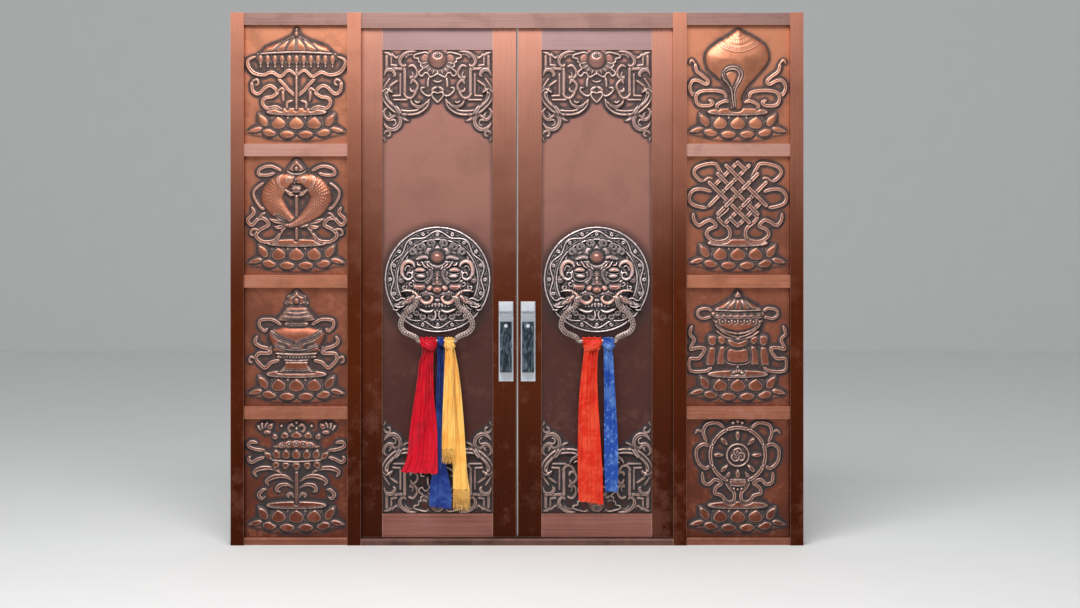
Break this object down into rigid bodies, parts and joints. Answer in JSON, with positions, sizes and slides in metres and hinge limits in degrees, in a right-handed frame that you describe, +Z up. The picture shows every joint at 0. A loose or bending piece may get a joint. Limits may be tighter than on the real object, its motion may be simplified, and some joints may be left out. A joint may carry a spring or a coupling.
{
  "type": "carved temple door",
  "caption": "Copper-clad double-leaf temple door with frame and sidelights: raised symbol panels, lion-mask ring knockers with tied scarves, chrome pull handles.",
  "frame": {"origin": "middle of the sill's underside, on the floor line, half way through the frame's depth", "axes": "+X to the right as seen from the street, +Y into the building, +Z up"},
  "size_m": [2.95, 0.222, 2.745],
  "materials": {
    "frame_copper": "aged copper sheet",
    "panel_copper": "mottled pressed copper",
    "leaf_copper": "mottled aged copper",
    "mask_copper": "antique copper, rubbed on the high points",
    "ring_bronze": "cast bronze, handled",
    "timber": "sawn core",
    "chrome": "polished, slightly fogged",
    "lock_steel": "brushed",
    "dark_steel": "dark bronze paint",
    "red_cloth": "woven",
    "blue_cloth": "woven",
    "yellow_cloth": "woven, fringed",
    "orange_cloth": "woven",
    "sky_cloth": "woven"
  },
  "bodies": {
    "frame": {"outer_post_left": "frame_copper", "inner_post_left": "frame_copper", "side_head_left": "frame_copper", "side_rails_left": "frame_copper", "outer_post_right": "frame_copper", "inner_post_right": "frame_copper", "side_head_right": "frame_copper", "side_rails_right": "frame_copper", "side_cores": "timber", "side_backs": "frame_copper", "hinge_frame_halves": "dark_steel", "hinge_pins": "lock_steel", "centre_head": "frame_copper", "sill": "frame_copper", "lotus_panel": "panel_copper", "vase_panel": "panel_copper", "fish_panel": "panel_copper", "parasol_panel": "panel_copper", "wheel_panel": "panel_copper", "banner_panel": "panel_copper", "knot_panel": "panel_copper", "conch_panel": "panel_copper"},
    "leaf_left": {"hinge_stile_left": "leaf_copper", "meeting_stile_left": "leaf_copper", "leaf_rails_left": "leaf_copper", "leaf_field_left": "leaf_copper", "leaf_core_left": "timber", "leaf_back_left": "leaf_copper", "hinge_leaf_halves_left": "dark_steel", "lion_mask_left": "mask_copper", "outer_handle_left": "chrome", "outer_grip_left": "chrome", "inner_handle_left": "chrome", "flush_bolt_guides": "dark_steel"},
    "leaf_right": {"hinge_stile_right": "leaf_copper", "meeting_stile_right": "leaf_copper", "leaf_rails_right": "leaf_copper", "leaf_field_right": "leaf_copper", "leaf_core_right": "timber", "leaf_back_right": "leaf_copper", "hinge_leaf_halves_right": "dark_steel", "lion_mask_right": "mask_copper", "outer_handle_right": "chrome", "outer_grip_right": "chrome", "inner_handle_right": "chrome", "lock_case": "lock_steel"},
    "knocker_left": {"knocker_ring_left": "ring_bronze"},
    "knocker_right": {"knocker_ring_right": "ring_bronze"},
    "scarves_left": {"red_scarf": "red_cloth", "blue_scarf": "blue_cloth", "yellow_scarf": "yellow_cloth"},
    "scarves_right": {"orange_scarf": "orange_cloth", "light_blue_scarf": "sky_cloth"},
    "thumb_left": {"thumb_piece_left": "chrome"},
    "thumb_right": {"thumb_piece_right": "chrome"},
    "dead_bolt": {"dead_bolt": "lock_steel"},
    "latch_bolt": {"latch_bolt": "lock_steel"},
    "key_plug": {"key_plug": "chrome"},
    "flush_bolt_top": {"flush_bolt_top": "lock_steel"},
    "flush_bolt_bottom": {"flush_bolt_bottom": "lock_steel"}
  },
  "joints": [
    {"name": "leaf_left_swing", "type": "hinge", "parent": "frame", "child": "leaf_left", "pos_m": [-0.824, 0.069, 1.36], "axis": [0, 0, 1], "range_deg": [0, 90]},
    {"name": "knocker_left_swing", "type": "hinge", "parent": "leaf_left", "child": "knocker_left", "pos_m": [-0.41175, -0.082, 1.278], "axis": [-1, 0, 0], "range_deg": [0, 70]},
    {"name": "scarves_left_hang", "type": "hinge", "parent": "knocker_left", "child": "scarves_left", "pos_m": [-0.41175, -0.082, 1.054], "axis": [-1, 0, 0], "range_deg": [-70, 0]},
    {"name": "thumb_left_press", "type": "slide", "parent": "leaf_left", "child": "thumb_left", "axis": [0, 1, 0], "range_m": [0, 0.005], "stiffness_N_per_m": 400, "springref_m": -0.004},
    {"name": "leaf_right_swing", "type": "hinge", "parent": "frame", "child": "leaf_right", "pos_m": [0.824, 0.069, 1.36], "axis": [0, 0, -1], "range_deg": [0, 90]},
    {"name": "knocker_right_swing", "type": "hinge", "parent": "leaf_right", "child": "knocker_right", "pos_m": [0.41175, -0.082, 1.278], "axis": [-1, 0, 0], "range_deg": [0, 70]},
    {"name": "scarves_right_hang", "type": "hinge", "parent": "knocker_right", "child": "scarves_right", "pos_m": [0.41175, -0.082, 1.054], "axis": [-1, 0, 0], "range_deg": [-70, 0]},
    {"name": "thumb_right_press", "type": "slide", "parent": "leaf_right", "child": "thumb_right", "axis": [0, 1, 0], "range_m": [0, 0.005], "stiffness_N_per_m": 400, "springref_m": -0.004},
    {"name": "dead_bolt_throw", "type": "slide", "parent": "leaf_right", "child": "dead_bolt", "axis": [-1, 0, 0], "range_m": [0, 0.02]},
    {"name": "latch_bolt_throw", "type": "slide", "parent": "leaf_right", "child": "latch_bolt", "axis": [-1, 0, 0], "range_m": [0, 0.012]},
    {"name": "key_turn", "type": "hinge", "parent": "leaf_right", "child": "key_plug", "pos_m": [0.057, -0.04, 1.23], "axis": [0, 1, 0], "range_deg": [0, 360]},
    {"name": "top_bolt_slide", "type": "slide", "parent": "leaf_left", "child": "flush_bolt_top", "axis": [0, 0, 1], "range_m": [0, 0.018]},
    {"name": "bottom_bolt_slide", "type": "slide", "parent": "leaf_left", "child": "flush_bolt_bottom", "axis": [0, 0, -1], "range_m": [0, 0.018]}
  ],
  "couplings": [
    {"joint": "scarves_left_hang", "follows": "knocker_left_swing", "ratio": -1},
    {"joint": "scarves_right_hang", "follows": "knocker_right_swing", "ratio": -1},
    {"joint": "key_turn", "follows": "dead_bolt_throw", "rad_per_m": 314}
  ]
}
